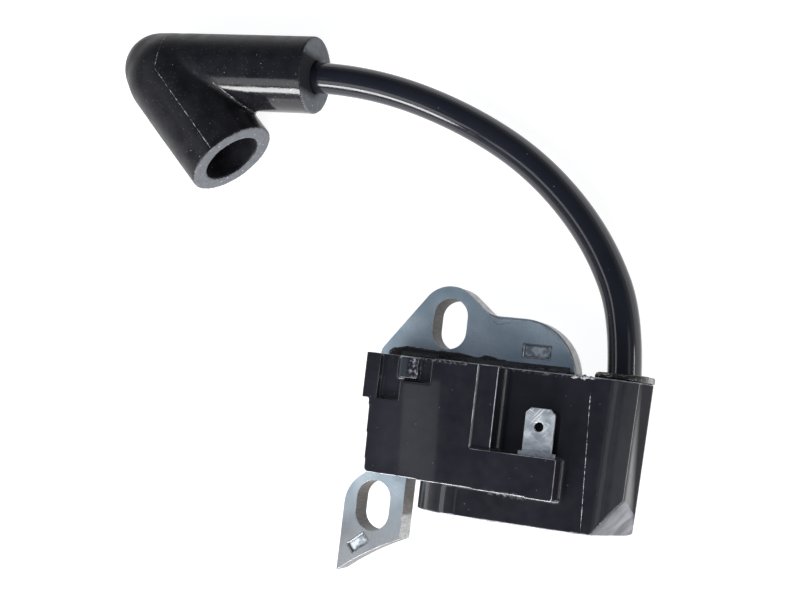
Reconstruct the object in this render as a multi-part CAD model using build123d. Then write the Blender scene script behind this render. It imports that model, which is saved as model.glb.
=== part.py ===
"""Ignition coil for a small two-stroke engine, laid on its back, in millimetres.

X runs along the coil's long side, Y from the flywheel side to the potted open side, and Z is the
stack direction of the core, up from the surface that the coil lies on. The origin is the centre
of the bottom of the coil's own box, without the lead and its boot.
"""

import math
import os

from build123d import *

# --- Laminated core: a U whose left leg carries the lower ear -----------------------------
SHEET = 0.5                  # one lamination
SHEETS = 10
CORE_BACK = 6.2
CORE_FRONT = CORE_BACK + SHEETS * SHEET
CORE_MID = (CORE_BACK + CORE_FRONT) / 2

EAR_LEFT = -24.7             # outer edge of the lower ear
LEFT_LEG = (-21.3, -14.15)   # the bare leg
COIL_LEG = (0.4, 6.8)        # the leg inside the windings
COIL_LEG_MID = sum(COIL_LEG) / 2
POLE_RIGHT = 4.8             # the pole shoe is narrower than its leg
YOKE_BOTTOM = 9.0
YOKE_TOP = 20.5
YOKE_RIGHT = 12.45
YOKE_RADIUS = 9.4
EAR_RADIUS = 5.2
SHOULDER_RADIUS = 5.9

FLYWHEEL_CENTRE = (4.3, -59.1)
POLE_RADIUS = 45.0           # pole face of the lower ear
COIL_POLE_RADIUS = 46.3      # pole face of the coil leg, a little further out

SLOT_WIDTH = 5.9             # for M5 screws
SLOT_LENGTH = 8.4
UPPER_SLOT = (-9.7, 18.4)
LOWER_SLOT = (-19.5, -13.1)

STITCHES = (                 # stamped interlocks: x, y, length, width, turn in degrees
    (5.6, 15.3, 4.4, 2.0, 0.0),
    (-21.4, -19.6, 3.3, 1.7, 40.0),
)
STITCH_DEPTH = 0.3

# --- Moulded housing: a pot that is open towards +Y ---------------------------------------
WALL = 1.3
RIM = 12.1                   # the pot's open edge
FLOOR = -12.3                # the pot's closed end
POT_HEIGHT = 17.4
POT_LEFT = -12.0
CAVITY_RIGHT = 15.2
POT_END_RADIUS = 8.69
FRONT = 22.0                 # front face of the electronics chamber
CHAMBER_FLOOR = -7.0
CHAMBER_BACK = CORE_FRONT + 0.1
CHAMBER_TOP_LEFT = -18.6
CHAMBER_BOTTOM_LEFT = -17.7
RIB = (-0.6, 2.7)            # raised strip at the chamber's right edge
RIB_BOTTOM = -1.2
RIB_DROP = 0.4
BLOCK_RIGHT = 13.4           # terminal block
BLOCK_BOTTOM = -7.7
BLOCK_TOP = -1.1

LEAD_X = 19.96               # the tower is built round the lead
LEAD_RADIUS = 2.75
CORE_WIRE_RADIUS = 0.8
LEAD_START = 6.0             # the lead's inner end
SEAL_HEIGHT = 1.1
SEAT_LENGTH = 4.0
LINK_Y = LEAD_START - 2.7    # the wire from the winding to the contact
LINK_RADIUS = 0.5
SPIKE_RADIUS = 0.45
SPIKE_LENGTH = 4.0
RESIN_DROP = 0.4             # the resin stands this far below the rim
CREEP_LEFT = -17.2
CREEP_LENGTH = 28.6
TOWER_DRAFT = 0.85
TOWER_CORNER = 1.6           # radius of its free corner

# --- Windings ------------------------------------------------------------------------------
WINDING_LOW = -10.4
WINDING_HIGH = 8.0
SECTIONS = 6
FLANGE = 0.7
PRIMARY_TUBE = 0.7           # wall thicknesses, outwards from the leg
PRIMARY_WIRE = 0.95
SECONDARY_TUBE = 0.7
SECONDARY_WIRE = 1.9
FLANGE_LIP = 0.25            # the flanges stand this much proud of the winding

# --- Lead and boot -------------------------------------------------------------------------
BOOT_Z = 8.2
BOOT_AXIS_Y = 60.2           # the boot's lead arm lies along X at this Y
BOOT_END_X = -41.1
BOOT_ELBOW_X = -72.6
LEAD_ARM_RADIUS = 6.85
PLUG_ARM_RADIUS = 8.2
MOUTH = (-55.6, 44.3)
PLUG_ARM_TURN = 135.0        # direction from the mouth into the boot, in degrees from +X
PLUG_ARM_LENGTH = 20.6
PLUG_BORE_RADIUS = 5.3       # takes the plug's insulator
PLUG_BORE_DEPTH = 10.2
POCKET_RADIUS = 4.3          # the narrower pocket behind it holds the spring
POCKET_DEPTH = 17.5          # from the mouth
LEAD_END_X = -60.8
SPRING_WIRE = 0.45
SPRING_RADIUS = 3.6
SPRING_PITCH = 1.5
SPRING_TURNS = 4
SPRING_HEEL = 1.3            # the straight piece of wire before the first turn

LEAD_ROUTE = (
    (LEAD_X, LEAD_START, CORE_MID),
    (LEAD_X, 20.5, CORE_MID),
    (12.8, 34.6, 6.2),
    (1.0, 46.5, 4.4),
    (-13.0, 54.4, 4.2),
    (-29.0, 59.4, 6.2),
    (-45.2, BOOT_AXIS_Y, BOOT_Z),
    (LEAD_END_X, BOOT_AXIS_Y, BOOT_Z),
)
RUN_SHARE = 0.45             # of the shorter run, taken by each arc


def block(x, y, z):
    """A box from three (low, high) pairs."""
    size = [high - low for low, high in (x, y, z)]
    middle = [(high + low) / 2 for low, high in (x, y, z)]
    return Pos(*middle) * Box(*size)


def rounded_face(corners):
    """A flat face from (x, y, corner radius) triples."""
    points = [(x, y) for x, y, _ in corners]
    radii = [radius for _, _, radius in corners]
    return make_face(FilletPolyline(*points, radius=radii, close=True).edges())


def slab(corners, low, high):
    """A prism along Z."""
    return Pos(0, 0, low) * extrude(rounded_face(corners), high - low, dir=(0, 0, 1))


def across_y(y):
    """The plane at this y whose own axes are the object's X and Z."""
    return Plane(origin=(0, y, 0), x_dir=(1, 0, 0), z_dir=(0, -1, 0))


def bar(corners, low, high):
    """A prism along Y, from (x, z, corner radius) triples."""
    return extrude(across_y(low) * rounded_face(corners), high - low, dir=(0, 1, 0))


def rod(start, end, radius):
    """A round rod between two points."""
    start, end = Vector(start), Vector(end)
    plane = Plane(origin=start, z_dir=end - start)
    return extrude(plane * Circle(radius), (end - start).length, dir=plane.z_dir)


def sleeve(thickness, low, high):
    """A bar that wraps the coil leg, this much thicker than the leg on every side."""
    return block(
        (COIL_LEG[0] - thickness, COIL_LEG[1] + thickness),
        (low, high),
        (CORE_BACK - thickness, CORE_FRONT + thickness),
    )


# --- Core ----------------------------------------------------------------------------------
def lamination_outline(waist_drop):
    """The stamping before its pole faces are cut. waist_drop deepens the dip beside the ear."""
    below = -30.0
    return (
        (EAR_LEFT, below, 0),
        (LEFT_LEG[1], below, 0),
        (LEFT_LEG[1], YOKE_BOTTOM, 1.0),
        (COIL_LEG[0], YOKE_BOTTOM, 1.0),
        (COIL_LEG[0], below, 0),
        (POLE_RIGHT, below, 0),
        (POLE_RIGHT, FLOOR + 0.5, 0),
        (COIL_LEG[1], FLOOR + 0.5, 0),
        (COIL_LEG[1], YOKE_BOTTOM, 0.8),
        (YOKE_RIGHT, YOKE_BOTTOM, 0.8),
        (YOKE_RIGHT, YOKE_TOP, YOKE_RADIUS),
        (-2.9 + waist_drop, YOKE_TOP - waist_drop, 3.5),
        (-10.9, 26.95, EAR_RADIUS),
        (LEFT_LEG[0], 13.05, 2.0),
        (LEFT_LEG[0], -7.75, 1.4),
        (EAR_LEFT, -10.13, SHOULDER_RADIUS),
    )


def flywheel(radius, x):
    """The space swept by the flywheel, over a band of x."""
    disc = Pos(*FLYWHEEL_CENTRE, 0) * Cylinder(radius, 60)
    return disc & block(x, (-120, 0), (-40, 40))


def slot(centre):
    shape = Pos(*centre) * SlotOverall(SLOT_LENGTH, SLOT_WIDTH, rotation=90)
    return Pos(0, 0, -1) * extrude(shape, 40, dir=(0, 0, 1))


def lamination(number):
    """Sheet 1 is the front one. Its waist is stamped a little deeper than the others'."""
    top = CORE_FRONT - (number - 1) * SHEET
    drop = 0.55 if number == 1 else 0.0
    sheet = slab(lamination_outline(drop), top - SHEET, top)
    sheet -= flywheel(POLE_RADIUS, (-40, LEFT_LEG[1] + 1))
    sheet -= flywheel(COIL_POLE_RADIUS, (COIL_LEG[0] - 1, 40))
    sheet = sheet - slot(UPPER_SLOT) - slot(LOWER_SLOT)
    for x, y, length, width, turn in STITCHES:
        place = Pos(x, y, top - SHEET / 2) * Rot(0, 0, turn)
        sheet -= place * Box(length, width, SHEET)
        if number < SHEETS:
            sheet += place * Pos(0, 0, -STITCH_DEPTH) * Box(length, width, SHEET)
    return sheet


# --- Housing -------------------------------------------------------------------------------
def pot_section(inset, right):
    """The pot's section across Y, inset from its outside, up to x = right."""
    radius = POT_END_RADIUS - inset
    left = POT_LEFT + inset
    return (
        (left, inset, radius),
        (right, inset, 2.0),
        (right, POT_HEIGHT - inset, 2.0),
        (left, POT_HEIGHT - inset, radius),
    )


def tower_section(draft):
    """The tower's section: flat front and back, two sloping faces and a blunt side."""
    side = LEAD_X + 4.6 - draft
    edge = side - 0.95
    return (
        (10.0, 0, 0),
        (19.4 - draft, 0, 8.0),
        (edge, 3.4, 0.8),
        (side, CORE_MID, 4.0),
        (edge, POT_HEIGHT - 3.4, 0.8),
        (19.4 - draft, POT_HEIGHT, 8.0),
        (10.0, POT_HEIGHT, 0),
    )


def tower():
    """The lead's tower, a little narrower at the pot's closed end, as moulding draft leaves it."""
    top = across_y(RIM) * rounded_face(tower_section(0.0))
    bottom = across_y(FLOOR) * rounded_face(tower_section(TOWER_DRAFT))
    side = LEAD_X + 4.6
    outline = (
        (9.0, FLOOR, 0),
        (side - TOWER_DRAFT, FLOOR, TOWER_CORNER),
        (side, RIM, 0),
        (9.0, RIM, 0),
    )
    return loft([bottom, top], ruled=True) & slab(outline, -1, FRONT)


def corner_cut():
    """The half space beyond the oblique facet on the tower's free corner."""
    facet = Plane(origin=(24.6, -7.5, CORE_MID), z_dir=(0.826, -0.444, 0.347))
    return facet * Pos(0, 0, 20) * Box(80, 80, 40)


def chamber_outline(inset):
    """The electronics chamber in front of the bare leg and the windings."""
    return (
        (CHAMBER_TOP_LEFT + inset, RIM, 0),
        (CHAMBER_BOTTOM_LEFT + inset, CHAMBER_FLOOR + inset, 0.6),
        (RIB[1] - inset, CHAMBER_FLOOR - 0.45 + inset, 0.3),
        (RIB[1] - inset, RIM, 0),
    )


def terminal_block():
    corners = (
        (-0.3, CHAMBER_FLOOR - 0.38, 0),
        (BLOCK_RIGHT, BLOCK_BOTTOM, 0.3),
        (BLOCK_RIGHT, BLOCK_TOP, 0.3),
        (-0.3, BLOCK_TOP, 0),
    )
    return slab(corners, POT_HEIGHT - WALL, FRONT)


def wire_guide():
    """A wing on the chamber's left edge, and the pocket with its keeper beside it."""
    wing = block((-19.5, -17.0), (4.8, RIM), (CHAMBER_BACK + 4, FRONT))
    pocket = block((-17.0, -8.2), (8.1, RIM + 1), (FRONT - 1.0, FRONT + 1))
    channel = block((-17.0, -13.2), (4.8, 8.2), (FRONT - 1.0, FRONT + 1))
    keeper = block((-13.9, -10.5), (8.6, RIM - 0.15), (FRONT - 1.2, FRONT))
    front_edges = keeper.edges().filter_by(Axis.Y).group_by(Axis.Z)[-1]
    return wing, pocket + channel, chamfer(front_edges, 0.35)


def pot_cavity():
    """The whole potted space, open at the rim."""
    coil_space = bar(pot_section(WALL, CAVITY_RIGHT), FLOOR + WALL, RIM)
    board_space = slab(chamber_outline(WALL), POT_HEIGHT - 2.0, FRONT - WALL)
    side_floor = CHAMBER_FLOOR + WALL + 0.6
    side_pocket = block((-17.0, -13.0), (side_floor, RIM), (CHAMBER_BACK + WALL, POT_HEIGHT))
    return coil_space + board_space + side_pocket


def tower_bore():
    """The lead's socket, and the hole that the link runs through."""
    seat = rod((LEAD_X, LEAD_START - SEAT_LENGTH, CORE_MID), (LEAD_X, RIM, CORE_MID), LEAD_RADIUS)
    link = rod((CAVITY_RIGHT - 1, LINK_Y, CORE_MID), (LEAD_X, LINK_Y, CORE_MID), LINK_RADIUS)
    return seat + link


def housing(core, terminal, ground):
    body = bar(pot_section(0.0, 16.0), FLOOR, RIM)
    body += tower()
    body += slab(chamber_outline(0.0), CHAMBER_BACK, FRONT)
    body += terminal_block()
    wing, pocket, keeper = wire_guide()
    body = body + wing - pocket + keeper
    body -= block((RIB[0], RIB[1] + 1), (RIB_BOTTOM, RIM + 1), (FRONT - RIB_DROP, FRONT + 1))
    body = body - corner_cut() - pot_cavity() - tower_bore()
    return body - core - terminal - ground


# --- Windings ------------------------------------------------------------------------------
def primary_bobbin():
    outside = PRIMARY_TUBE + PRIMARY_WIRE
    tube = sleeve(PRIMARY_TUBE, WINDING_LOW, WINDING_HIGH)
    for low in (WINDING_LOW, WINDING_HIGH - FLANGE):
        tube += sleeve(outside, low, low + FLANGE)
    return tube - sleeve(0.0, WINDING_LOW - 1, WINDING_HIGH + 1)


def primary_winding():
    low, high = WINDING_LOW + FLANGE, WINDING_HIGH - FLANGE
    return sleeve(PRIMARY_TUBE + PRIMARY_WIRE, low, high) - sleeve(PRIMARY_TUBE, low - 1, high + 1)


def secondary_bobbin():
    """A tube over the primary, with flanges that part its winding into sections."""
    inside = PRIMARY_TUBE + PRIMARY_WIRE
    tube = sleeve(inside + SECONDARY_TUBE, WINDING_LOW, WINDING_HIGH)
    outside = inside + SECONDARY_TUBE + SECONDARY_WIRE + FLANGE_LIP
    for number in range(SECTIONS + 1):
        low = WINDING_LOW + number * section_pitch()
        tube += sleeve(outside, low, low + FLANGE)
    return tube - sleeve(inside, WINDING_LOW - 1, WINDING_HIGH + 1)


def section_pitch():
    return (WINDING_HIGH - WINDING_LOW - FLANGE) / SECTIONS


def secondary_winding():
    inside = PRIMARY_TUBE + PRIMARY_WIRE + SECONDARY_TUBE
    sections = []
    for number in range(SECTIONS):
        low = WINDING_LOW + number * section_pitch() + FLANGE
        high = low + section_pitch() - FLANGE
        ring = sleeve(inside + SECONDARY_WIRE, low, high) - sleeve(inside, low - 1, high + 1)
        sections.append(ring)
    return Compound(children=sections)


# --- Electronics ---------------------------------------------------------------------------
BOARD_BACK = 16.5
BOARD_FRONT = 17.3
PIN_Y = WINDING_HIGH + 0.35


def circuit_board():
    return block((-16.2, 0.9), (-5.2, 10.4), (BOARD_BACK, BOARD_FRONT))


def switching_transistor():
    body = block((-14.6, -9.0), (2.6, 7.2), (BOARD_FRONT + 0.1, BOARD_FRONT + 2.3))
    tab = block((-14.2, -9.4), (7.2, 8.8), (BOARD_FRONT, BOARD_FRONT + 0.5))
    legs = [block((x, x + 0.7), (0.6, 2.6), (BOARD_FRONT, BOARD_FRONT + 0.5)) for x in (-14.1, -10.2)]
    base = block((-14.6, -9.0), (2.6, 7.2), (BOARD_FRONT, BOARD_FRONT + 0.5))
    return body + base + tab + legs[0] + legs[1]


def trigger_thyristor():
    can = rod((-4.5, 6.2, BOARD_FRONT), (-4.5, 6.2, BOARD_FRONT + 2.6), 2.2)
    return can - block((-8.0, -1.0), (7.6, 12.0), (BOARD_FRONT, FRONT))


def timing_capacitor():
    return block((-16.8, -13.2), (-4.8, 4.6), (CHAMBER_BACK + WALL + 0.2, BOARD_BACK))


def axial_part(x, y, length, radius):
    """A small wire-ended part lying along X on the board."""
    height = BOARD_FRONT + radius
    body = rod((x, y, height), (x + length, y, height), radius)
    ends = rod((x - 1.5, y, height), (x + length + 1.5, y, height), 0.3)
    return body + ends


def bias_resistors():
    return Compound(children=[axial_part(-13.2, y, 4.0, 0.9) for y in (-1.4, -3.9)])


def clamp_diode():
    return axial_part(-5.9, -1.6, 3.4, 1.1)


def winding_pins():
    """The primary's two wire posts, from its flange up through the board."""
    pins = [rod((x, PIN_Y, 12.0), (x, PIN_Y, BOARD_FRONT + 0.8), 0.35) for x in (-2.6, -0.4)]
    return Compound(children=pins)


def ground_pin():
    """Earths the board on the core's bare leg."""
    return rod((-15.1, 7.6, CORE_FRONT), (-15.1, 7.6, BOARD_FRONT + 0.6), 0.6)


def stop_terminal():
    """A 4.8 mm spade for the stop wire, with shoulders and a tail that runs to the board."""
    back, front = 19.2, 20.0
    blade = slab(((7.3, -5.0, 0), (12.0, -5.0, 0), (12.0, 6.3, 0), (7.3, 6.3, 0)), back, front)
    blade = chamfer(blade.edges().filter_by(Axis.Z).group_by(Axis.Y)[-1], 0.8)
    blade += block((6.7, 12.6), (BLOCK_TOP - 1.2, -0.5), (back, front))
    blade += block((-1.0, 9.0), (-5.0, -3.0), (back, front))
    blade += block((-1.0, 0.2), (-5.0, -3.0), (BOARD_FRONT, front))
    return blade - rod((9.6, 3.4, 15), (9.6, 3.4, 25), 0.75)


# --- High tension side ---------------------------------------------------------------------
def high_tension_link():
    """A wire from the secondary winding to the contact in the tower."""
    winding = COIL_LEG[1] + PRIMARY_TUBE + PRIMARY_WIRE + SECONDARY_TUBE + SECONDARY_WIRE
    return rod((winding, LINK_Y, CORE_MID), (LEAD_X - 2.0, LINK_Y, CORE_MID), LINK_RADIUS)


def high_tension_contact():
    """A screw spike that holds the lead's inner end and bites into its wires."""
    seat = rod((LEAD_X, LEAD_START - SEAT_LENGTH, CORE_MID), (LEAD_X, LEAD_START, CORE_MID), 2.4)
    tip = LEAD_START + SPIKE_LENGTH
    spike = rod((LEAD_X, LEAD_START, CORE_MID), (LEAD_X, tip, CORE_MID), SPIKE_RADIUS)
    return seat - high_tension_link() + spike


def lead_seal():
    """The ragged collar of resin where the lead leaves the tower."""
    corners = (
        (15.9, 3.2, 1.6),
        (24.4, 3.6, 3.4),
        (24.3, 14.2, 3.0),
        (20.4, 15.4, 1.0),
        (16.0, 14.4, 1.4),
    )
    collar = bar(corners, RIM, RIM + SEAL_HEIGHT)
    step = block((15.0, 18.6), (RIM + 0.75, RIM + 2), (12.6, 17.0))
    bore = rod((LEAD_X, RIM - 1, CORE_MID), (LEAD_X, RIM + 3, CORE_MID), LEAD_RADIUS)
    return collar - step - bore


def potting_resin(inner):
    """Fills the pot round everything in it, and creeps up the yoke in a hollow fillet."""
    surface = RIM - RESIN_DROP
    section = (
        (surface, CORE_FRONT),
        (surface, 20.5),
        (RIM - 0.2, 19.6),
        (RIM + 0.1, 14.0),
        (RIM + 0.4, 12.3),
        (RIM + 1.0, 11.5),
        (RIM + 1.2, CORE_FRONT),
    )
    fillet_face = make_face(Polyline(*section, close=True).edges())
    creep = Pos(CREEP_LEFT, 0, 0) * extrude(Plane.YZ * fillet_face, CREEP_LENGTH, dir=(1, 0, 0))
    over_pot = block((CREEP_LEFT, CAVITY_RIGHT), (surface, 40), (CORE_FRONT, POT_HEIGHT - WALL))
    over_board = block((CREEP_LEFT, RIB[1] - WALL), (surface, 40), (CORE_FRONT, FRONT - WALL))
    fill = pot_cavity() & block((-40, 40), (-40, surface), (-10, 40))
    fill += creep & (over_pot + over_board)
    for piece in inner:
        fill -= piece
    return fill


# --- Lead and boot -------------------------------------------------------------------------
def lead_path():
    """Straight runs joined by tangent arcs, each as large as its two runs allow."""
    points = [Vector(*point) for point in LEAD_ROUTE]
    radii = []
    for before, here, after in zip(points, points[1:], points[2:]):
        turn = (here - before).get_angle(after - here)
        shorter = min((here - before).length, (after - here).length)
        radii.append(RUN_SHARE * shorter / math.tan(math.radians(turn / 2)))
    print("lead arc radii", [round(radius, 1) for radius in radii])
    return FilletPolyline(*points, radius=radii)


def along_lead(path, section):
    start = Plane(origin=path @ 0, z_dir=path % 0)
    return sweep(start * section, path=path)


def ignition_lead(path):
    tube = along_lead(path, Circle(LEAD_RADIUS) - Circle(CORE_WIRE_RADIUS))
    area = math.pi * (LEAD_RADIUS**2 - CORE_WIRE_RADIUS**2)
    print("lead length", round(path.length, 1))
    print("lead volume", round(tube.volume, 1), "section times length", round(area * path.length, 1))
    return tube


def lead_conductor(path):
    return along_lead(path, Circle(CORE_WIRE_RADIUS)) - high_tension_contact() - spring_leg()


def plug_axis():
    """The direction from the boot's mouth along its plug arm."""
    turn = math.radians(PLUG_ARM_TURN)
    return Vector(math.cos(turn), math.sin(turn), 0)


def spring_frame():
    """A frame at the spring's innermost turn: x towards the lead, z out of the mouth."""
    depth = POCKET_DEPTH - SPRING_WIRE - 0.2
    middle = Vector(*MOUTH, BOOT_Z) + plug_axis() * depth
    side = Vector(0, 0, -1).cross(plug_axis())
    return Plane(origin=middle, x_dir=side, z_dir=-plug_axis())


def spring_helix():
    return Helix(pitch=SPRING_PITCH, height=SPRING_PITCH * SPRING_TURNS, radius=SPRING_RADIUS)


def spring_leg():
    """The wire's straight end: out of the first turn, and through the rubber into the lead."""
    frame = spring_frame()
    helix = spring_helix()
    start = frame.from_local_coords(helix @ 0)
    heel = frame.from_local_coords(helix @ 0 - (helix % 0) * SPRING_HEEL)
    knee = Vector(start.X + 1.2, BOOT_AXIS_Y, BOOT_Z)
    tip = Vector(LEAD_END_X + SPIKE_LENGTH, BOOT_AXIS_Y, BOOT_Z)
    leg = rod(heel, start, SPRING_WIRE) + rod(heel, knee, SPRING_WIRE)
    leg = leg + Pos(*heel) * Sphere(SPRING_WIRE) + Pos(*knee) * Sphere(SPRING_WIRE)
    return leg + rod(knee, tip, SPRING_WIRE)


def contact_spring():
    """A coil of spring wire that grips the plug's tip."""
    helix = spring_helix()
    start = Plane(origin=helix @ 0, z_dir=helix % 0)
    coil = sweep(start * Circle(SPRING_WIRE), path=helix, is_frenet=True)
    return spring_leg() + spring_frame() * coil


def plug_boot(path):
    """A rubber elbow: one arm takes the lead, the other goes over the spark plug."""
    mouth = Vector(*MOUTH, BOOT_Z)
    heel = mouth + plug_axis() * PLUG_ARM_LENGTH
    toe = Vector(BOOT_ELBOW_X, BOOT_AXIS_Y, BOOT_Z)
    cable_end = Vector(BOOT_END_X, BOOT_AXIS_Y, BOOT_Z)
    boot = rod(mouth, heel, PLUG_ARM_RADIUS) + Pos(*heel) * Sphere(PLUG_ARM_RADIUS)
    boot = boot + rod(cable_end, toe, LEAD_ARM_RADIUS) + Pos(*toe) * Sphere(LEAD_ARM_RADIUS)
    boot -= rod(mouth, mouth + plug_axis() * PLUG_BORE_DEPTH, PLUG_BORE_RADIUS)
    boot -= rod(mouth, mouth + plug_axis() * POCKET_DEPTH, POCKET_RADIUS)
    return boot - along_lead(path, Circle(LEAD_RADIUS)) - spring_leg()


def main():
    os.makedirs("parts", exist_ok=True)
    sheets = {f"lamination_{number:02d}": lamination(number) for number in range(1, SHEETS + 1)}
    core = slab(lamination_outline(0.0), CORE_BACK, CORE_FRONT)
    inside = {
        "primary_bobbin": primary_bobbin(),
        "primary_winding": primary_winding(),
        "secondary_bobbin": secondary_bobbin(),
        "secondary_winding": secondary_winding(),
        "circuit_board": circuit_board(),
        "switching_transistor": switching_transistor(),
        "trigger_thyristor": trigger_thyristor(),
        "timing_capacitor": timing_capacitor(),
        "bias_resistors": bias_resistors(),
        "clamp_diode": clamp_diode(),
        "primary_terminal_pins": winding_pins(),
        "ground_pin": ground_pin(),
        "stop_terminal": stop_terminal(),
        "high_tension_link": high_tension_link(),
    }
    for through in ("primary_terminal_pins", "ground_pin"):
        inside["circuit_board"] -= inside[through]
    pot = housing(core, inside["stop_terminal"], inside["ground_pin"])
    path = lead_path()
    nodes = {
        **sheets,
        **inside,
        "housing": pot,
        "potting_resin": potting_resin([pot, core, *inside.values()]),
        "high_tension_contact": high_tension_contact(),
        "lead_seal": lead_seal(),
        "ignition_lead": ignition_lead(path),
        "lead_conductor": lead_conductor(path),
        "plug_boot": plug_boot(path),
        "plug_contact_spring": contact_spring(),
    }
    for name, shape in nodes.items():
        export_step(shape, f"parts/{name}.step")
        box = shape.bounding_box()
        print(name, round(shape.volume, 2), [round(v, 2) for v in (*box.min, *box.max)])


main()
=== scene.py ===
"""An ignition coil for a small two-stroke engine, lying on its back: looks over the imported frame."""

import math

import bmesh
import bpy
from mathutils import Matrix, Vector, noise
from mathutils.bvhtree import BVHTree


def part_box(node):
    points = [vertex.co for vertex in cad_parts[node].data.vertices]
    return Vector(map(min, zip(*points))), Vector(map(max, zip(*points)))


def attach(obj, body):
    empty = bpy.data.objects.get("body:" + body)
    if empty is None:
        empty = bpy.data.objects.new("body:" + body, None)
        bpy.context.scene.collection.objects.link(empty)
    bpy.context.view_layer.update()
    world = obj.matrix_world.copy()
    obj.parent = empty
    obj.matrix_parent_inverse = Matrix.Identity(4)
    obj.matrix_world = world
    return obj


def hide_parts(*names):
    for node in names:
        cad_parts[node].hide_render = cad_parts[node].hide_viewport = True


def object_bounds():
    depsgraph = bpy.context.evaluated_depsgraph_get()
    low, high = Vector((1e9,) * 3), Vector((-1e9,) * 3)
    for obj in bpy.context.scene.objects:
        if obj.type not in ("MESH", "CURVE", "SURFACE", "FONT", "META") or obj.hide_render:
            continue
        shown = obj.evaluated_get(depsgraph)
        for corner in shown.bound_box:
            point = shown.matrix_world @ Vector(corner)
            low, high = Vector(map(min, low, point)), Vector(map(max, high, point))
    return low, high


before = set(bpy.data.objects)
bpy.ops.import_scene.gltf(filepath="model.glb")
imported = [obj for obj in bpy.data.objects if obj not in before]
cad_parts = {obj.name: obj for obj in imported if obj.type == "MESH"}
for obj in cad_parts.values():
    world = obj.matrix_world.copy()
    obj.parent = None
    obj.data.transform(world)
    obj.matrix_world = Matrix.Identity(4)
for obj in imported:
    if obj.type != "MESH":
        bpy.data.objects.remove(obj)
cad_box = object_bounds()

MM = 0.001
SHEETS = [f"lamination_{number:02d}" for number in range(1, 11)]


# --- Camera ----------------------------------------------------------------------------------
CAMERA_PLACE = Vector((64.826, 6.870, 231.424)) * MM
CAMERA_RIGHT = Vector((0.9306, 0.1183, -0.3464)).normalized()
CAMERA_UP = Vector((-0.0888, 0.9910, 0.0999)).normalized()


def make_camera():
    data = bpy.data.cameras.new("camera")
    data.sensor_width = 36.0
    data.lens = 63.0
    data.clip_start = 0.01
    camera = bpy.data.objects.new("camera", data)
    back = CAMERA_RIGHT.cross(CAMERA_UP).normalized()
    up = back.cross(CAMERA_RIGHT)
    turn = Matrix((CAMERA_RIGHT, up, back)).transposed()
    camera.matrix_world = Matrix.Translation(CAMERA_PLACE) @ turn.to_4x4()
    bpy.context.scene.collection.objects.link(camera)
    bpy.context.scene.camera = camera


make_camera()


# --- The high tension lead -------------------------------------------------------------------
LEAD_RADIUS = 2.75 * MM
LEAD_ROUTE = (
    (19.96, 6.0, 8.7),
    (19.96, 20.5, 8.7),
    (12.8, 34.6, 6.2),
    (1.0, 46.5, 4.4),
    (-13.0, 54.4, 4.2),
    (-29.0, 59.4, 6.2),
    (-45.2, 60.2, 8.2),
    (-60.8, 60.2, 8.2),
)


def make_lead():
    curve = bpy.data.curves.new("lead_cover", "CURVE")
    curve.dimensions = "3D"
    spline = curve.splines.new("NURBS")
    spline.points.add(len(LEAD_ROUTE) - 1)
    for point, place in zip(spline.points, LEAD_ROUTE):
        point.co = (*(Vector(place) * MM), 1.0)
        point.radius = LEAD_RADIUS  # the curve's own box grows by this, so it is the true radius
    spline.order_u = 3
    spline.use_endpoint_u = True
    spline.resolution_u = 16
    curve.bevel_depth = 1.0
    curve.bevel_resolution = 10
    curve.use_fill_caps = True
    return link("lead_cover", curve, "lead_rubber", "ignition_lead")


def link(name, data, slot, *nodes):
    """Puts a new piece in the scene: it rides on the one body and stands for these CAD nodes."""
    piece = bpy.data.objects.new(name, data)
    bpy.context.scene.collection.objects.link(piece)
    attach(piece, "root")
    if nodes:
        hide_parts(*nodes)
    return piece


# --- Meshes ----------------------------------------------------------------------------------
def smooth(mesh, angle):
    """Smooth shading, with edges sharper than this many degrees kept crisp."""
    mesh.shade_smooth()
    mesh.set_sharp_from_angle(angle=math.radians(angle))


def cad_copy(node, merge=0.4):
    """A copy of a CAD node's mesh whose flat faces are whole again."""
    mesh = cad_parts[node].data.copy()
    mesh.materials.clear()
    shape = bmesh.new()
    shape.from_mesh(mesh)
    bmesh.ops.remove_doubles(shape, verts=shape.verts, dist=0.0005 * MM)
    bmesh.ops.dissolve_limit(
        shape, angle_limit=math.radians(merge), verts=shape.verts, edges=shape.edges
    )
    shape.to_mesh(mesh)
    shape.free()
    return mesh


def bevel(piece, width, segments=2, angle=35.0, edge_slot=0):
    """Rounds a piece's sharp edges, and gives the rounded strips their own material slot."""
    modifier = piece.modifiers.new("bevel", "BEVEL")
    modifier.width = width * MM
    modifier.segments = segments
    modifier.limit_method = "ANGLE"
    modifier.angle_limit = math.radians(angle)
    modifier.use_clamp_overlap = False
    modifier.harden_normals = True
    modifier.material = edge_slot


def voxel_copy(node, voxel, rounds):
    """A CAD node's skin remeshed into small even faces, then eased so that its edges round off."""
    source = bpy.data.objects.new("remesh_source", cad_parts[node].data.copy())
    bpy.context.scene.collection.objects.link(source)
    remesh = source.modifiers.new("remesh", "REMESH")
    remesh.mode = "VOXEL"
    remesh.voxel_size = voxel * MM
    ease = source.modifiers.new("ease", "SMOOTH")
    ease.factor = 0.5
    ease.iterations = rounds
    bpy.context.view_layer.update()
    graph = bpy.context.evaluated_depsgraph_get()
    mesh = bpy.data.meshes.new_from_object(source.evaluated_get(graph))
    bpy.data.objects.remove(source)
    mesh.materials.clear()
    return mesh


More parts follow.
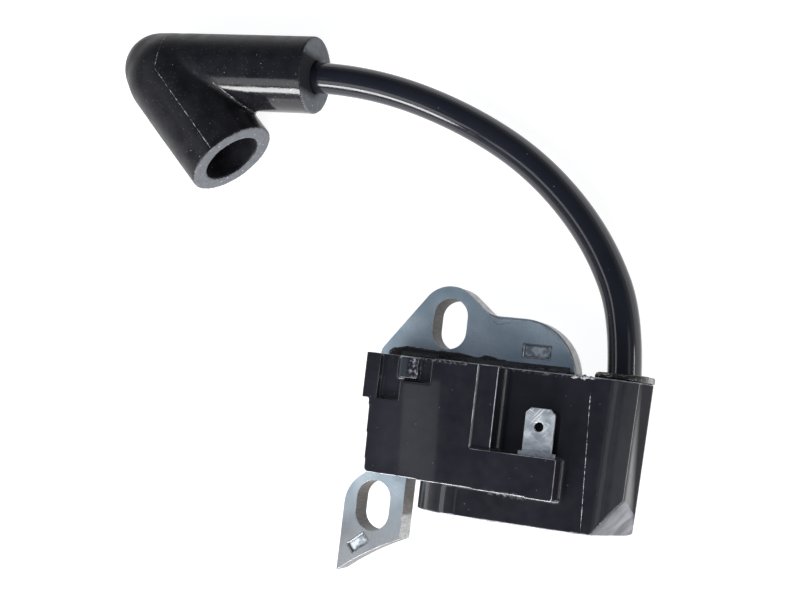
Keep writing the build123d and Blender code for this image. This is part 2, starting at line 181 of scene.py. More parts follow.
def mark_wear(mesh, gain=1.0):
    """Stores how strongly the skin bulges at each point, which is where it rubs pale."""
    total = [0.0] * len(mesh.vertices)
    count = [0] * len(mesh.vertices)
    for edge in mesh.edges:
        a, b = (mesh.vertices[index] for index in edge.vertices)
        along = b.co - a.co
        length = max(along.length, 1e-9)
        total[a.index] -= along.dot(a.normal) / length
        total[b.index] += along.dot(b.normal) / length
        count[a.index] += 1
        count[b.index] += 1
    bulge = [max(0.0, gain * t / max(1, c)) for t, c in zip(total, count)]
    mesh.attributes.new("wear", "FLOAT", "POINT").data.foreach_set("value", bulge)


def new_mesh(name, vertices, faces):
    mesh = bpy.data.meshes.new(name)
    mesh.from_pydata([Vector(v) * MM for v in vertices], [], faces)
    mesh.validate()
    return mesh


# --- Materials -------------------------------------------------------------------------------
class Look:
    """A material of procedural nodes round one principled shader."""

    def __init__(self, name, color, roughness, **values):
        self.material = bpy.data.materials.new(name)
        self.material.use_nodes = True
        self.tree = self.material.node_tree
        self.tree.nodes.clear()
        self.shader = self.tree.nodes.new("ShaderNodeBsdfPrincipled")
        output = self.tree.nodes.new("ShaderNodeOutputMaterial")
        self.tree.links.new(self.shader.outputs["BSDF"], output.inputs["Surface"])
        self.place = self.tree.nodes.new("ShaderNodeTexCoord")
        self.set("Base Color", color)
        self.set("Roughness", roughness)
        for socket, value in values.items():
            self.set(socket.replace("_", " "), value)

    def set(self, socket, value):
        """Gives a shader socket a constant or the output of another node."""
        self.give(self.shader.inputs[socket], value)

    def give(self, socket, value):
        if isinstance(value, bpy.types.NodeSocket):
            self.tree.links.new(value, socket)
        elif isinstance(value, tuple) and socket.type == "RGBA":
            socket.default_value = (*value, 1.0)
        else:
            socket.default_value = value

    def add(self, kind, output, values, **settings):
        node = self.tree.nodes.new(kind)
        for key, value in settings.items():
            setattr(node, key, value)
        for socket, value in values.items():
            self.give(node.inputs[socket], value)
        return node.outputs[output]

    def spread(self, stretch, turn):
        """Object coordinates, squeezed along the axes after a turn about Z in degrees."""
        turned = self.add(
            "ShaderNodeMapping", "Vector",
            {"Vector": self.place.outputs["Object"], "Rotation": (0, 0, math.radians(turn))},
        )
        scale = tuple(1.0 / s for s in stretch)
        return self.add("ShaderNodeMapping", "Vector", {"Vector": turned, "Scale": scale})

    def noise(self, size, detail=3.0, stretch=(1, 1, 1), turn=0.0, distortion=0.0):
        """Noise from 0 to 1 whose blotches are about this many millimetres across."""
        vector = self.spread(stretch, turn)
        values = {"Vector": vector, "Scale": 1.0 / (size * MM), "Detail": detail, "Distortion": distortion}
        return self.add("ShaderNodeTexNoise", "Fac", values)

    def specks(self, pitch, size, share, stretch=(1, 1, 1), turn=0.0):
        """1 inside small dots: one per cell of this pitch, in this share of the cells."""
        vector = self.spread(stretch, turn)
        cells = {"Vector": vector, "Scale": 1.0 / (pitch * MM), "Randomness": 1.0}
        distance = self.add("ShaderNodeTexVoronoi", "Distance", cells)
        chance = self.add("ShaderNodeTexVoronoi", "Color", cells)
        near = self.span(distance, size / pitch, 0.5 * size / pitch)
        picked = self.math("LESS_THAN", self.channel(chance), share)
        return self.math("MULTIPLY", near, picked)

    def channel(self, color):
        return self.add("ShaderNodeSeparateColor", "Red", {"Color": color})

    def span(self, value, low, high, out_low=0.0, out_high=1.0):
        """Maps low..high to out_low..out_high, clamped."""
        values = {0: value, 1: low, 2: high, 3: out_low, 4: out_high}
        return self.add("ShaderNodeMapRange", "Result", values)

    def math(self, operation, first, second):
        return self.add("ShaderNodeMath", "Value", {0: first, 1: second}, operation=operation)

    def mix(self, factor, first, second):
        values = {"Factor": factor, 6: first, 7: second}
        return self.add("ShaderNodeMix", 2, values, data_type="RGBA")

    def blend(self, factor, first, second):
        return self.add("ShaderNodeMix", 0, {0: factor, 2: first, 3: second}, data_type="FLOAT")

    def axis(self, name, source="Object"):
        """One axis of the object coordinates in millimetres, or of the normal."""
        split = self.add("ShaderNodeSeparateXYZ", name, {"Vector": self.place.outputs[source]})
        return self.math("DIVIDE", split, MM) if source == "Object" else split

    def box(self, x, y, length, width, turn=0.0, soft=0.1):
        """1 inside an oblong, in millimetres, seen along Z and turned by this many degrees."""
        local = self.add(
            "ShaderNodeMapping", "Vector",
            {
                "Vector": self.place.outputs["Object"],
                "Location": (x * MM, y * MM, 0.0),
                "Rotation": (0.0, 0.0, math.radians(turn)),
            },
            vector_type="TEXTURE",
        )
        sides = []
        for name, reach in (("X", length / 2), ("Y", width / 2)):
            along = self.add("ShaderNodeSeparateXYZ", name, {"Vector": local})
            out = self.math("ABSOLUTE", along, 0.0)
            sides.append(self.span(out, (reach + soft) * MM, (reach - soft) * MM))
        return self.math("MULTIPLY", *sides)

    def beyond(self, origin, normal, low, high):
        """Rises from 0 to 1 as the distance past a plane goes from low to high, in millimetres."""
        away = self.add("ShaderNodeVectorMath", "Vector",
                        {0: self.place.outputs["Object"], 1: Vector(origin) * MM}, operation="SUBTRACT")
        distance = self.add("ShaderNodeVectorMath", "Value",
                            {0: away, 1: Vector(normal)}, operation="DOT_PRODUCT")
        return self.span(distance, low * MM, high * MM)

    def bump(self, height, depth, strength=1.0):
        """Adds a bump of this depth in millimetres to those given before."""
        values = {"Height": height, "Distance": depth * MM, "Strength": strength}
        previous = self.shader.inputs["Normal"].links
        if previous:
            values["Normal"] = previous[0].from_socket
        self.set("Normal", self.add("ShaderNodeBump", "Normal", values))


# Oblongs as (x, y, length, width) in millimetres, with a turn in degrees after them for the stitches.
UPPER_SLOT = (-9.7, 18.4, 6.6, 9.2)
LOWER_SLOT = (-19.5, -13.1, 6.6, 9.2)
LEG_SIDE = (-14.1, -9.5, 1.0, 9.0)
# The two slots and the leg's side by the housing: their walls are painted dark, as painted shade.
SHADED_OBLONGS = (UPPER_SLOT, LOWER_SLOT, LEG_SIDE)
STITCHES = ((5.6, 15.3, 4.4, 2.0, 0.0), (-21.4, -19.6, 3.3, 1.7, 40.0))
PLATE_FACE_Z = 11.2


def steel_look():
    """Bare core steel: grey rolled faces, darker cut edges, a darker band along the housing, stitch marks
    drawn as a painted shade ring round a painted highlight, painted shade on the lower ear, on edges
    facing -Y and in the slots, and a painted sheen towards the upper right.
    """
    look = Look("core_steel", (0.5, 0.5, 0.5), 0.5, Metallic=0.75)
    cloud = look.noise(5.0, 5.0)
    grain = look.noise(0.35, 2.0)
    face = look.mix(look.span(cloud, 0.35, 0.7), (0.43, 0.55, 0.63), (0.60, 0.71, 0.78))
    # Painted shade: the lower ear is painted darker and greyer towards the bottom.
    lower_ear_shade = look.span(look.axis("Y"), -6.0, -18.0)
    face = look.mix(lower_ear_shade, face, (0.32, 0.335, 0.35))
    face = look.mix(look.span(grain, 0.45, 0.75, 0.0, 0.4), face, (0.40, 0.47, 0.53))
    scratches = look.noise(0.5, 2.0, (14, 1, 1), 35.0)
    face = look.mix(look.span(scratches, 0.68, 0.76, 0.0, 0.35), face, (0.85, 0.90, 0.94))
    # A darker band on the front sheet along the housing's top wall, just above the resin film.
    dark_band_by_housing = look.box(-12.0, 13.6, 9.0, 1.6, 0.0, 1.2)
    face = look.mix(look.math("MULTIPLY", dark_band_by_housing, 0.6), face, (0.16, 0.18, 0.19))
    # Painted sheen: the face is painted paler towards the upper right corner.
    rim = look.beyond((7.0, 18.0, 0.0), (0.75, 0.66, 0.0), 0.5, 3.0)
    face = look.mix(look.math("MULTIPLY", rim, 0.5), face, (0.80, 0.86, 0.90))
    ragged = look.span(look.noise(0.7, 3.0), 0.34, 0.5)
    stitch_painted_glint = look.span(look.noise(1.3, 3.0), 0.44, 0.56)
    # Each stitch mark: a ragged painted shade ring round it and a painted highlight inside.
    for x, y, length, width, turn in STITCHES:
        stitch_shade_ring = look.box(x, y, length + 0.5, width + 0.35, turn, 0.12)
        inside = look.box(x, y, length - 0.5, width - 0.4, turn, 0.2)
        face = look.mix(look.math("MULTIPLY", stitch_shade_ring, ragged), face, (0.10, 0.11, 0.12))
        face = look.mix(inside, face, look.mix(stitch_painted_glint, (0.36, 0.42, 0.47), (0.86, 0.90, 0.93)))
    streak = look.noise(0.3, 3.0, (1, 1, 7))
    edge = look.mix(look.span(streak, 0.35, 0.65), (0.24, 0.235, 0.23), (0.46, 0.455, 0.45))
    # The cut colour is painted shade, for the walls inside the slots and on the leg's side.
    cut = look.mix(look.span(streak, 0.35, 0.65), (0.045, 0.041, 0.038), (0.12, 0.11, 0.10))
    metal = 0.75
    wall = look.span(look.math("ABSOLUTE", look.axis("Z", "Normal"), 0.0), 0.9, 0.6)
    # Painted shade: in these oblongs the walls take the dark cut colour and lose most of their metal.
    for shaded_oblong in SHADED_OBLONGS:
        in_painted_shade = look.box(*shaded_oblong, 0.0, 0.3)
        edge = look.mix(in_painted_shade, edge, cut)
        metal = look.blend(look.math("MULTIPLY", in_painted_shade, wall), metal, 0.2)
    look.set("Metallic", metal)
    # Painted shade: edges facing -Y are painted darker.
    shade_facing_minus_y = look.span(look.axis("Y", "Normal"), -0.5, -0.9)
    edge = look.mix(look.math("MULTIPLY", shade_facing_minus_y, 0.75), edge, (0.08, 0.08, 0.08))
    flat = look.math("ABSOLUTE", look.axis("Z", "Normal"), 0.0)
    look.set("Base Color", look.mix(look.span(flat, 0.6, 0.9), edge, face))
    look.set("Roughness", look.span(cloud, 0.3, 0.7, 0.38, 0.52))
    look.bump(grain, 0.012)
    look.bump(streak, 0.02, 0.5)
    return look.material


def bright_edge_look():
    """The worn corners of the sheets, with painted shade on those facing -Y and on those that line the
    slots and the leg's side.
    """
    look = Look("steel_edge", (0.7, 0.7, 0.7), 0.4, Metallic=0.8)
    wear = look.noise(1.2, 3.0)
    face = look.mix(look.span(wear, 0.35, 0.6), (0.36, 0.38, 0.40), (0.70, 0.72, 0.74))
    # Painted shade: corners facing -Y are painted darker.
    shade_facing_minus_y = look.span(look.axis("Y", "Normal"), -0.5, -0.9)
    face = look.mix(look.math("MULTIPLY", shade_facing_minus_y, 0.8), face, (0.05, 0.05, 0.05))
    inner = look.span(look.axis("Z"), PLATE_FACE_Z - 0.15, PLATE_FACE_Z - 0.25)
    metal = 0.8
    # Painted shade: corners below the front face in the slots and on the leg's side are painted dark.
    for shaded_oblong in SHADED_OBLONGS:
        in_painted_shade = look.math("MULTIPLY", look.box(*shaded_oblong, 0.0, 0.3), inner)
        face = look.mix(in_painted_shade, face, (0.10, 0.095, 0.09))
        metal = look.blend(in_painted_shade, metal, 0.2)
    look.set("Base Color", face)
    look.set("Metallic", metal)
    look.bump(look.noise(0.2), 0.01)
    return look.material


NICKED = (
    (-11.2, 10.4, 1.5, 3.2),
    (5.0, -7.7, 6.0, 0.8),
    (-7.0, 11.9, 9.0, 0.35),
    (8.0, 11.9, 9.0, 0.35),
)
FACET_PLACE = (24.6, -7.5, 8.7)
FACET_NORMAL = (0.826, -0.444, 0.347)


def plastic_look():
    """Glossy blue-black moulding with flow marks, dust, scuffed corners, a painted reflection patch on the
    left, a painted sheen on the keeper, and a sanded facet whose sheen is painted brighter towards +X.
    """
    look = Look("housing_plastic", (0.012, 0.012, 0.018), 0.35, Coat_Roughness=0.03)
    flow = look.noise(4.0, 4.0, (1, 3, 1))
    dust = look.specks(0.9, 0.12, 0.2)
    base = look.mix(look.span(flow, 0.3, 0.7), (0.004, 0.004, 0.007), (0.010, 0.010, 0.015))
    # Painted reflection: a greyer patch on the left of the front stands in for the light it mirrors.
    painted_reflection_patch = look.box(-12.5, 0.5, 10.5, 15.0, 0.0, 3.0)
    base = look.mix(look.math("MULTIPLY", painted_reflection_patch, 0.6), base, (0.022, 0.022, 0.030))
    base = look.mix(look.math("MULTIPLY", dust, 0.2), base, (0.4, 0.4, 0.42))
    # The sanded facet: pale sanding streaks, with a painted sheen that grows brighter towards +X.
    facet = look.beyond(FACET_PLACE, FACET_NORMAL, -0.10, -0.04)
    sanded = look.span(look.noise(0.9, 3.0, (7, 1, 7), -52.0), 0.36, 0.62)
    facet_sanding_and_sheen = look.math("MULTIPLY", look.span(look.axis("X"), 18.0, 22.5, 0.2, 0.85), sanded)
    base = look.mix(facet, base, look.mix(facet_sanding_and_sheen, (0.014, 0.015, 0.022), (0.20, 0.205, 0.24)))
    bulge = look.add("ShaderNodeAttribute", "Fac", {}, attribute_name="wear")
    corner = look.span(bulge, 0.07, 0.20)
    patchy = look.span(look.noise(1.8, 5.0), 0.38, 0.62, 0.25, 1.0)
    right_part = look.span(look.axis("X"), -3.0, -1.5, 0.1)
    rubbed = look.math("MAXIMUM", right_part, look.span(look.axis("Y"), -5.0, -6.5))
    scuff = look.math("MULTIPLY", look.math("MULTIPLY", corner, patchy), rubbed)
    faces_up = look.span(look.axis("Z", "Normal"), 0.2, 0.5)
    nicks = look.math("MULTIPLY", look.span(look.noise(0.5, 5.0), 0.50, 0.66), faces_up)
    for place in NICKED:
        worn = look.math("MULTIPLY", look.box(*place, 0.0, 0.3), nicks)
        base = look.mix(look.math("MULTIPLY", worn, 0.5), base, (0.5, 0.5, 0.56))
    # Painted sheen: the keeper block is painted lighter than the moulding round it.
    keeper_sheen = look.box(-13.0, 10.3, 1.2, 3.0, 0.0, 0.2)
    base = look.mix(look.math("MULTIPLY", keeper_sheen, 0.8), base, (0.03, 0.036, 0.048))
    look.set("Base Color", look.mix(scuff, base, (0.55, 0.56, 0.62)))
    side = look.span(look.axis("X"), 23.3, 23.7)
    uneven = look.span(look.noise(1.5, 5.0), 0.3, 0.7, 0.28, 0.42)
    look.set("Roughness", look.blend(side, uneven, 0.65))
    look.set("Coat Weight", look.blend(side, 0.8, 0.04))
    look.set("Specular IOR Level", look.blend(side, 0.3, 0.06))
    look.bump(look.noise(6.0, 2.0), 0.05, 0.5)
    look.bump(look.noise(0.5, 3.0), 0.005)
    return look.material


def resin_look():
    """Poured black resin with a wet shine and small bubbles."""
    look = Look("potting_resin", (0.01, 0.009, 0.009), 0.12, IOR=1.55)
    cloud = look.noise(3.0, 3.0)
    look.set("Base Color", look.mix(cloud, (0.008, 0.007, 0.008), (0.03, 0.026, 0.026)))
    look.set("Roughness", look.span(look.noise(1.0, 4.0), 0.3, 0.7, 0.08, 0.35))
    look.bump(look.noise(2.2, 3.0), 0.25)
    look.bump(look.specks(1.6, 0.4, 0.3), 0.05)
    return look.material


def lead_look():
    """The smooth extruded cover of the lead."""
    look = Look("lead_rubber", (0.010, 0.011, 0.016), 0.12, IOR=1.52)
    cloud = look.noise(6.0, 3.0)
    dust = look.specks(1.1, 0.14, 0.12)
    base = look.mix(cloud, (0.006, 0.007, 0.012), (0.013, 0.014, 0.021))
    look.set("Base Color", look.mix(look.math("MULTIPLY", dust, 0.2), base, (0.5, 0.5, 0.5)))
    look.set("Roughness", look.span(look.noise(2.0, 5.0), 0.3, 0.7, 0.08, 0.17))
    look.bump(look.noise(3.0, 2.0), 0.03, 0.5)
    return look.material


CROTCH_PLACE = (-59.6, 57.4, 0.0)
CROTCH_NORMAL = (0.638, 0.770, 0.0)


def rubber_look():
    """Moulded boot rubber: dusty on the plug arm, glossy on the underside of the lead arm."""
    look = Look("boot_rubber", (0.012, 0.012, 0.015), 0.34, IOR=1.5)
    cloud = look.noise(3.0, 5.0)
    dust = look.specks(1.0, 0.11, 0.3)
    fine = look.specks(0.4, 0.10, 0.35)
    base = look.mix(look.span(cloud, 0.3, 0.7), (0.006, 0.006, 0.008), (0.014, 0.014, 0.018))
    base = look.mix(look.math("MULTIPLY", fine, 0.10), base, (0.6, 0.6, 0.62))
    look.set("Base Color", look.mix(look.math("MULTIPLY", dust, 0.4), base, (0.6, 0.6, 0.62)))
    lead_arm = look.beyond(CROTCH_PLACE, CROTCH_NORMAL, 0.2, 1.2)
    underside = look.math("MULTIPLY", lead_arm, look.span(look.axis("Y"), 63.0, 61.5))
    matt = look.span(cloud, 0.3, 0.7, 0.3, 0.5)
    gloss = look.span(cloud, 0.3, 0.7, 0.09, 0.15)
    look.set("Roughness", look.blend(underside, matt, gloss))
    look.set("Specular IOR Level", look.blend(underside, 0.2, 0.5))
    look.bump(look.noise(0.6, 4.0), 0.012)
    return look.material


def cut_rubber_look():
    """The matt end faces of the boot."""
    look = Look("boot_end", (0.12, 0.125, 0.14), 0.7)
    cloud = look.noise(0.8, 5.0)
    dust = look.specks(0.9, 0.2, 0.3)
    base = look.mix(look.span(cloud, 0.3, 0.7), (0.075, 0.083, 0.094), (0.115, 0.124, 0.137))
    base = look.mix(look.math("MULTIPLY", dust, 0.5), base, (0.6, 0.6, 0.62))
    # Painted shadow round the lead where it leaves the boot, partly dirt too: the face goes nearly black
    # there and loses its specular.
    lead_shadow_and_grime = look.box(-41.1, 59.8, 3.0, 7.0, 0.0, 0.7)
    lead_shadow_and_grime = look.math("MULTIPLY", lead_shadow_and_grime, look.span(look.axis("Z"), 6.0, 8.0, 0.0, 0.92))
    look.set("Base Color", look.mix(lead_shadow_and_grime, base, (0.010, 0.010, 0.012)))
    look.set("Specular IOR Level", look.blend(lead_shadow_and_grime, 0.5, 0.0))
    look.bump(cloud, 0.03)
    return look.material


def tin_look():
    """Tinned terminal metal with scratches, and painted shade towards the bottom of the tab."""
    look = Look("tinned_metal", (0.6, 0.62, 0.64), 0.35, Metallic=0.75)
    cloud = look.noise(1.6, 4.0)
    face = look.mix(look.span(cloud, 0.38, 0.62), (0.58, 0.64, 0.69), (0.90, 0.94, 0.97))
    # Painted shade: the tab is painted darker towards its bottom.
    face = look.mix(look.span(look.axis("Y"), 2.6, 5.6, 0.0, 0.75), face, (0.36, 0.40, 0.44))
    for turn in (25.0, -50.0):
        lines = look.noise(0.3, 2.0, (10, 1, 1), turn)
        face = look.mix(look.span(lines, 0.58, 0.66, 0.0, 0.9), face, (0.97, 0.98, 1.0))
    look.set("Base Color", face)
    look.set("Roughness", look.span(cloud, 0.3, 0.7, 0.3, 0.5))
    look.bump(look.noise(0.5, 3.0), 0.02)
    return look.material


def flash_look():
    """Thin torn flash, pale where the plastic was stressed."""
    look = Look("pale_flash", (0.4, 0.4, 0.42), 0.5)
    wear = look.noise(0.5, 3.0)
    look.set("Base Color", look.mix(look.span(wear, 0.4, 0.6), (0.06, 0.06, 0.07), (0.55, 0.55, 0.58)))
    look.bump(wear, 0.05)
    return look.material


def plain_look(name, dark, light, roughness, size=1.0, metallic=0.0, stretch=(1, 1, 1)):
    """A mottled two-tone material for the pieces inside the housing."""
    look = Look(name, light, roughness, Metallic=metallic)
    mottle = look.noise(size, 4.0, stretch)
    look.set("Base Color", look.mix(look.span(mottle, 0.35, 0.65), dark, light))
    look.set("Roughness", look.span(mottle, 0.3, 0.7, roughness - 0.06, roughness + 0.08))
    look.bump(mottle, 0.02)
    return look.material


STEEL = steel_look()
STEEL_EDGE = bright_edge_look()
PLASTIC = plastic_look()
RESIN = resin_look()
TIN = tin_look()
RUBBER = rubber_look()
CUT_RUBBER = cut_rubber_look()
FLASH = flash_look()
BOBBIN = plain_look("bobbin_plastic", (0.50, 0.47, 0.38), (0.62, 0.60, 0.52), 0.45)
COPPER = plain_look("copper_wire", (0.34, 0.12, 0.05), (0.66, 0.29, 0.13), 0.3, 0.25, 0.9, (40, 1, 40))
BOARD = plain_look("board_laminate", (0.03, 0.13, 0.06), (0.06, 0.20, 0.09), 0.4)
COMPONENT = plain_look("component_plastic", (0.012, 0.012, 0.014), (0.03, 0.03, 0.034), 0.5, 0.5)
CAPACITOR = plain_look("capacitor_film", (0.28, 0.03, 0.02), (0.42, 0.06, 0.035), 0.25, 2.0)
CERAMIC = plain_look("resistor_ceramic", (0.22, 0.34, 0.40), (0.34, 0.46, 0.52), 0.4, 0.6)
BRASS = plain_look("contact_brass", (0.50, 0.34, 0.12), (0.72, 0.54, 0.24), 0.3, 0.8, 1.0)
STRANDS = plain_look("conductor_wire", (0.45, 0.27, 0.16), (0.75, 0.50, 0.33), 0.35, 0.2, 1.0)
SPRING = plain_look("spring_steel", (0.40, 0.40, 0.42), (0.66, 0.66, 0.68), 0.28, 0.6, 1.0)

INSIDE = {
    "primary_bobbin": BOBBIN,
    "secondary_bobbin": BOBBIN,
    "primary_winding": COPPER,
    "secondary_winding": COPPER,
    "circuit_board": BOARD,
    "switching_transistor": COMPONENT,
    "trigger_thyristor": COMPONENT,
    "clamp_diode": COMPONENT,
    "timing_capacitor": CAPACITOR,
    "bias_resistors": CERAMIC,
    "primary_terminal_pins": TIN,
    "ground_pin": TIN,
    "high_tension_link": TIN,
    "high_tension_contact": BRASS,
    "lead_conductor": STRANDS,
    "plug_contact_spring": SPRING,
    "potting_resin": RESIN,
}


def dress_cad_nodes():
    for node, material in INSIDE.items():
        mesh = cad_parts[node].data
        mesh.materials.clear()
        mesh.materials.append(material)


# --- The core and the moulded body -----------------------------------------------------------
def make_sheets():
    """The ten core sheets, with their corners broken so that the stack shows its layers."""
    for node in SHEETS:
        mesh = cad_copy(node)
        mesh.materials.append(STEEL)
        mesh.materials.append(STEEL_EDGE)
        smooth(mesh, 25.0)
        sheet = link(f"sheet_{node[-2:]}", mesh, "core_steel", node)
        bevel(sheet, 0.07, 1, 40.0, 1)


def make_housing():
    mesh = voxel_copy("housing", 0.2, 3)
    mark_wear(mesh)
    mesh.shade_smooth()
    mesh.materials.append(PLASTIC)
    link("housing_shell", mesh, "housing_plastic", "housing")


def make_stop_tab():
    mesh = cad_copy("stop_terminal")
    mesh.materials.append(TIN)
    mesh.materials.append(STEEL_EDGE)
    smooth(mesh, 25.0)
    tab = link("stop_tab", mesh, "tinned_metal", "stop_terminal")
    bevel(tab, 0.09, 2, 40.0, 1)


# --- The plug boot ---------------------------------------------------------------------------
MOUTH = Vector((-55.6, 44.3, 8.2))
PLUG_AXIS = Vector((-math.sqrt(0.5), math.sqrt(0.5), 0.0))
LEAD_FACE_X = -41.1


def ease_elbow(mesh):
    """Blends the boot's two round ends into one smooth elbow."""
    shape = bmesh.new()
    shape.from_mesh(mesh)
    elbow = [v for v in shape.verts if v.co.x / MM < -67.0 and v.co.y / MM > 50.0]
    for _ in range(40):
        bmesh.ops.smooth_vert(
            shape, verts=elbow, factor=0.5, use_axis_x=True, use_axis_y=True, use_axis_z=True
        )
    shape.to_mesh(mesh)
    shape.free()


def make_boot():
    mesh = voxel_copy("plug_boot", 0.32, 4)
    ease_elbow(mesh)
    mesh.materials.append(RUBBER)
    mesh.materials.append(CUT_RUBBER)
    for face in mesh.polygons:
        centre = face.center / MM
        on_mouth = (centre - MOUTH).dot(PLUG_AXIS) < 0.2 and face.normal.dot(-PLUG_AXIS) > 0.8
        on_lead_face = centre.x > LEAD_FACE_X - 0.2 and face.normal.x > 0.8
        face.material_index = int(on_mouth or on_lead_face)
    mesh.shade_smooth()
    link("boot_rubber_elbow", mesh, "boot_rubber", "plug_boot")
    return mesh


# --- Ragged details --------------------------------------------------------------------------
def ragged_ridge(name, points, width, height, slot, material, step=0.35, rough=0.6):
    """A thin torn ridge along a line of (x, y, z) points, in millimetres."""
    places = []
    for start, end in zip(points, points[1:]):
        start, end = Vector(start), Vector(end)
        count = max(1, round((end - start).length / step))
        places += [start.lerp(end, number / count) for number in range(count)]
    places.append(Vector(points[-1]))
    vertices, faces = [], []
    for number, place in enumerate(places):
        ahead = places[min(number + 1, len(places) - 1)] - places[max(number - 1, 0)]
        side = ahead.cross(Vector((0, 0, 1))).normalized()
        swell = 1.0 + rough * noise.noise(place * 1.7)
        taper = min(1.0, number / 3, (len(places) - 1 - number) / 3) + 0.05
        top = height * swell * taper * (1.0 + rough * noise.noise(place * 3.1 + Vector((9, 0, 0))))
        reach = width / 2 * swell * taper
        sway = side * 0.3 * width * noise.noise(place * 0.9 + Vector((0, 5, 0)))
        centre = place + sway
        vertices += [centre - side * reach, centre + Vector((0, 0, top)), centre + side * reach]
    for row in range(len(places) - 1):
        a, b = 3 * row, 3 * row + 3
        faces += [(a, a + 1, b + 1, b), (a + 1, a + 2, b + 2, b + 1), (a, b, b + 2, a + 2)]
    last = 3 * (len(places) - 1)
    faces += [(0, 2, 1), (last, last + 1, last + 2)]
    mesh = new_mesh(name, vertices, faces)
    mesh.shade_smooth()
    mesh.materials.append(material)
    return link(name, mesh, slot)


def draped(mesh, line, lift, step=0.5):
    """The (x, y) line dropped onto a mesh from above, as (x, y, z) points in millimetres."""
    tree = BVHTree.FromPolygons([v.co for v in mesh.vertices], [p.vertices for p in mesh.polygons])
    dropped = []
    for start, end in zip(line, line[1:]):
        start, end = Vector(start), Vector(end)
        count = max(1, round((end - start).length / step))
        for number in range(count + 1):
            spot = start.lerp(end, number / count)
            hit, *_ = tree.ray_cast(Vector((spot.x, spot.y, 60.0)) * MM, Vector((0, 0, -1)))
            if hit:
                dropped.append(Vector((spot.x, spot.y, hit.z / MM + lift)))
    return dropped


SEAM_LINE = ((-69.9, 66.7), (-69.3, 62.3), (-69.2, 58.6), (-55.5, 44.4))
CROTCH_LINE = ((-59.4, 57.6), (-55.6, 55.2), (-50.6, 51.7))


def make_boot_details(boot):
    seam = draped(boot, SEAM_LINE, -0.06)
    ragged_ridge("boot_seam", seam, 0.18, 0.09, "boot_rubber", FLASH, rough=0.9)
    crotch = draped(boot, CROTCH_LINE, -0.05)
    ragged_ridge("boot_crotch_flash", crotch, 0.22, 0.09, "boot_rubber", FLASH, rough=1.5)


def make_seal():
    """The torn collar of resin round the lead."""
    low, high = [Vector(corner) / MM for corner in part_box("lead_seal")]
    mesh = voxel_copy("lead_seal", 0.25, 2)
    for vertex in mesh.vertices:
        place = vertex.co / MM
        rise = (place.y - low.y) / (high.y - low.y)
        push = noise.noise(place * 0.8) * 0.35 + noise.noise(place * 2.3) * 0.2
        vertex.co.y += min(0.0, push - 0.1) * rise * MM
        vertex.co.z += push * 0.5 * rise * MM
    mesh.shade_smooth()
    mesh.materials.append(RESIN)
    link("resin_collar", mesh, "potting_resin", "lead_seal")


FILM_TOP = (
    (-19.8, 13.0), (-18.9, 13.6), (-16.3, 14.0), (-12.0, 13.8), (-7.4, 13.8), (-4.4, 13.4),
    (-2.6, 13.9), (-0.4, 13.5), (3.0, 13.0), (6.4, 13.1), (9.4, 12.9), (12.2, 12.6),
)


def make_film():
    """The thin resin that has crept up the front sheet, with an uneven upper edge."""
    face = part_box(SHEETS[0])[1].z / MM
    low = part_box("housing")[1].y / MM
    vertices, faces = [], []
    columns = 96
    first, last = FILM_TOP[0][0], FILM_TOP[-1][0]
    for column in range(columns + 1):
        x = first + (last - first) * column / columns
        for (x0, y0), (x1, y1) in zip(FILM_TOP, FILM_TOP[1:]):
            if x0 <= x <= x1:
                share = (x - x0) / (x1 - x0)
                share = share * share * (3 - 2 * share)
                top = y0 + (y1 - y0) * share
        top += 0.12 * noise.noise(Vector((x * 1.1, 0, 0))) + 0.04 * noise.noise(Vector((x * 3, 3, 0)))
        for share, lift in ((0.0, -0.10), (0.03, 0.06), (0.3, 0.12), (0.7, 0.22), (1.0, 0.45)):
            ripple = 0.04 * noise.noise(Vector((x * 0.9, share * 4, 7)))
            vertices.append((x, top + (low - top) * share, face + lift + ripple * share))
    for column in range(columns):
        for row in range(4):
            a = 5 * column + row
            faces.append((a, a + 1, a + 6, a + 5))
    mesh = new_mesh("resin_film", vertices, faces)
    mesh.shade_smooth()
    mesh.materials.append(RESIN)
    film = link("resin_film", mesh, "potting_resin")
    thick = film.modifiers.new("thickness", "SOLIDIFY")
    thick.thickness = 0.08 * MM


MARKS = (
    ("rim_flash", ((12.9, 11.8, 17.3), (15.0, 11.85, 17.3), (17.3, 11.8, 17.3)), 0.6, 0.3, 0.9),
    ("tower_crease", ((16.5, 10.4, 17.38), (17.3, -11.6, 17.38)), 0.10, 0.035, 1.2),
)
SCRATCHES = (
    ("scratch_hook", ((-2.8, 20.0), (-1.5, 19.1), (0.0, 19.4), (2.2, 20.0))),
    ("scratch_right", ((6.1, 19.6), (8.0, 18.4), (10.0, 17.1))),
)


def make_marks():
    """Torn flash and a dotted crease on the housing, and scratches thrown up on the front sheet."""
    for name, points, width, height, rough in MARKS:
        ragged_ridge(name, points, width, height, "housing_plastic", FLASH, rough=rough)
    for name, line in SCRATCHES:
        points = [(x, y, PLATE_FACE_Z - 0.01) for x, y in line]
        ragged_ridge(name, points, 0.14, 0.04, "core_steel", STEEL_EDGE, rough=0.9)


def make_stage():
    """A plain white floor that glows a little, as a light table does."""
    corner = 2.5 / MM
    bottom = cad_box[0][2] / MM - 0.02
    corners = [(corner * x, corner * y, bottom) for x, y in ((-1, -1), (1, -1), (1, 1), (-1, 1))]
    floor = bpy.data.objects.new("floor", new_mesh("floor", corners, [(0, 1, 2, 3)]))
    look = Look("white_floor", (0.35, 0.35, 0.35), 0.9)
    look.set("Emission Color", (1.0, 1.0, 1.0))
    look.set("Emission Strength", 0.9)
    look.bump(look.noise(40.0), 0.02)
    floor.data.materials.append(look.material)
    bpy.context.scene.collection.objects.link(floor)


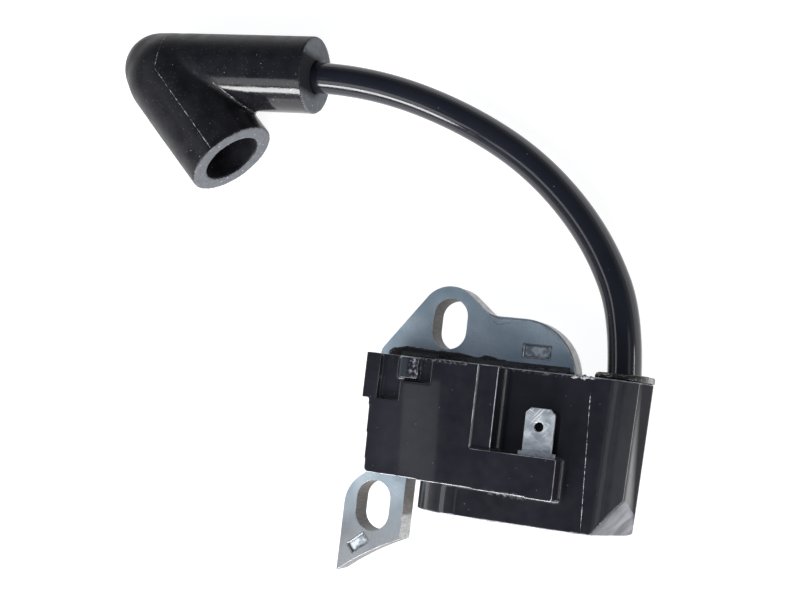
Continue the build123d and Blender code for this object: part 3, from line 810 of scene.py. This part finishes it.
def soft_light(name, place, target, size, radiance, roll=0.0):
    """A rectangular lamp, of this (width, height) in metres and this brightness, aimed at a point."""
    data = bpy.data.lights.new(name, "AREA")
    data.shape = "RECTANGLE"
    data.size, data.size_y = size
    data.energy = radiance * math.pi * size[0] * size[1]
    lamp = bpy.data.objects.new(name, data)
    aim = Vector(target) - Vector(place)
    turn = aim.to_track_quat("-Z", "Y").to_matrix() @ Matrix.Rotation(math.radians(roll), 3, "Z")
    lamp.matrix_world = Matrix.Translation(place) @ turn.to_4x4()
    bpy.context.scene.collection.objects.link(lamp)


def make_world():
    """A studio tent: dim and bluish overhead, paler at the horizon, and white behind the object."""
    world = bpy.data.worlds.new("studio")
    world.use_nodes = True
    nodes, links = world.node_tree.nodes, world.node_tree.links
    place = nodes.new("ShaderNodeTexCoord")
    split = nodes.new("ShaderNodeSeparateXYZ")
    height = nodes.new("ShaderNodeMapRange")
    height.interpolation_type = "SMOOTHSTEP"
    height.inputs[1].default_value = 0.05
    height.inputs[2].default_value = 0.62
    tint = nodes.new("ShaderNodeMix")
    tint.data_type = "RGBA"
    tint.inputs[6].default_value = (0.50, 0.50, 0.51, 1.0)
    tint.inputs[7].default_value = (0.115, 0.13, 0.165, 1.0)
    links.new(place.outputs["Generated"], split.inputs["Vector"])
    links.new(split.outputs["Z"], height.inputs[0])
    links.new(height.outputs["Result"], tint.inputs["Factor"])
    rays = nodes.new("ShaderNodeLightPath")
    seen = nodes.new("ShaderNodeMix")
    seen.data_type = "RGBA"
    seen.inputs[7].default_value = (0.95, 0.95, 0.96, 1.0)
    links.new(rays.outputs["Is Camera Ray"], seen.inputs["Factor"])
    links.new(tint.outputs[2], seen.inputs[6])
    links.new(seen.outputs[2], nodes["Background"].inputs["Color"])
    bpy.context.scene.world = world


def make_light():
    bpy.context.scene.view_settings.view_transform = "Standard"
    soft_light("low_strip", (-0.05, -0.36, 0.22), (-0.03, 0.05, 0), (0.62, 0.12), 16.5)
    soft_light("low_fill", (-0.05, -0.266, 0.393), (-0.03, 0.05, 0), (0.6, 0.18), 2.1)
    soft_light("left_box", (-0.40, 0.0, 0.36), (-0.01, 0, 0), (0.5, 0.10), 2.2)
    soft_light("right_box", (0.40, 0.0, 0.40), (0.02, 0, 0), (0.4, 0.26), 0.22)
    soft_light("right_core", (0.35, 0.0, 0.37), (0.02, 0, 0), (0.4, 0.08), 0.5)
    soft_light("right_strip", (0.50, 0.0, 0.10), (0.02, 0, 0), (0.3, 0.06), 7.5)
    soft_light("wall_card", (-0.149, -0.034, 0.422), (0, 0, 0.02), (0.092, 0.0167), 0.6, roll=-9.0)


lead = make_lead()
lead.data.materials.append(lead_look())
dress_cad_nodes()
make_sheets()
make_housing()
make_stop_tab()
boot_mesh = make_boot()
make_boot_details(boot_mesh)
make_seal()
make_film()
make_marks()
make_stage()
make_world()
make_light()
